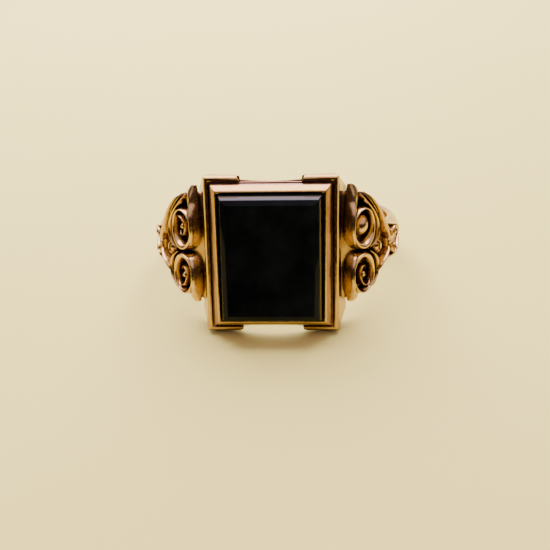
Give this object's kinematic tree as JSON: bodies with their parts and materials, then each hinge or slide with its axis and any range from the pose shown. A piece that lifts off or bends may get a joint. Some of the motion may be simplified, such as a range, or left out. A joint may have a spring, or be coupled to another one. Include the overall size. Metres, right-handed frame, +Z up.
{
  "type": "signet ring",
  "caption": "Gold signet ring with a flat rectangular black stone in a moulded bezel, scrollwork shoulders and a tapered band.",
  "frame": {"origin": "middle of the ring's footprint, on the table it lies on", "axes": "+Z up from the table; -Y out of the front, the side the stone faces; +X across the finger hole, to the right seen from the front. The finger hole's axis leans back from +Z by 15.4 degrees, because the long head and the narrow back of the band both touch the table."},
  "size_m": [0.0216, 0.0234, 0.0124],
  "materials": {
    "gold": "polished",
    "gold_ornament": "satin",
    "onyx": "polished"
  },
  "bodies": {
    "root": {"bezel_rim": "gold", "centre_tie_left": "gold_ornament", "centre_tie_right": "gold_ornament", "head_gallery": "gold", "knot_bead_left": "gold_ornament", "knot_bead_right": "gold_ornament", "leaf_lower_left": "gold_ornament", "leaf_lower_right": "gold_ornament", "leaf_upper_left": "gold_ornament", "leaf_upper_right": "gold_ornament", "onyx_tablet": "onyx", "shank": "gold", "shoulder_plate_left": "gold", "shoulder_plate_right": "gold", "small_scroll_lower_left": "gold_ornament", "small_scroll_lower_right": "gold_ornament", "small_scroll_upper_left": "gold_ornament", "small_scroll_upper_right": "gold_ornament", "stone_seat": "gold", "tail_scroll_lower_left": "gold_ornament", "tail_scroll_lower_right": "gold_ornament", "tail_scroll_upper_left": "gold_ornament", "tail_scroll_upper_right": "gold_ornament", "top_plate": "gold", "volute_bead_lower_left": "gold_ornament", "volute_bead_lower_right": "gold_ornament", "volute_bead_upper_left": "gold_ornament", "volute_bead_upper_right": "gold_ornament", "volute_lower_left": "gold_ornament", "volute_lower_right": "gold_ornament", "volute_upper_left": "gold_ornament", "volute_upper_right": "gold_ornament"}
  },
  "joints": []
}
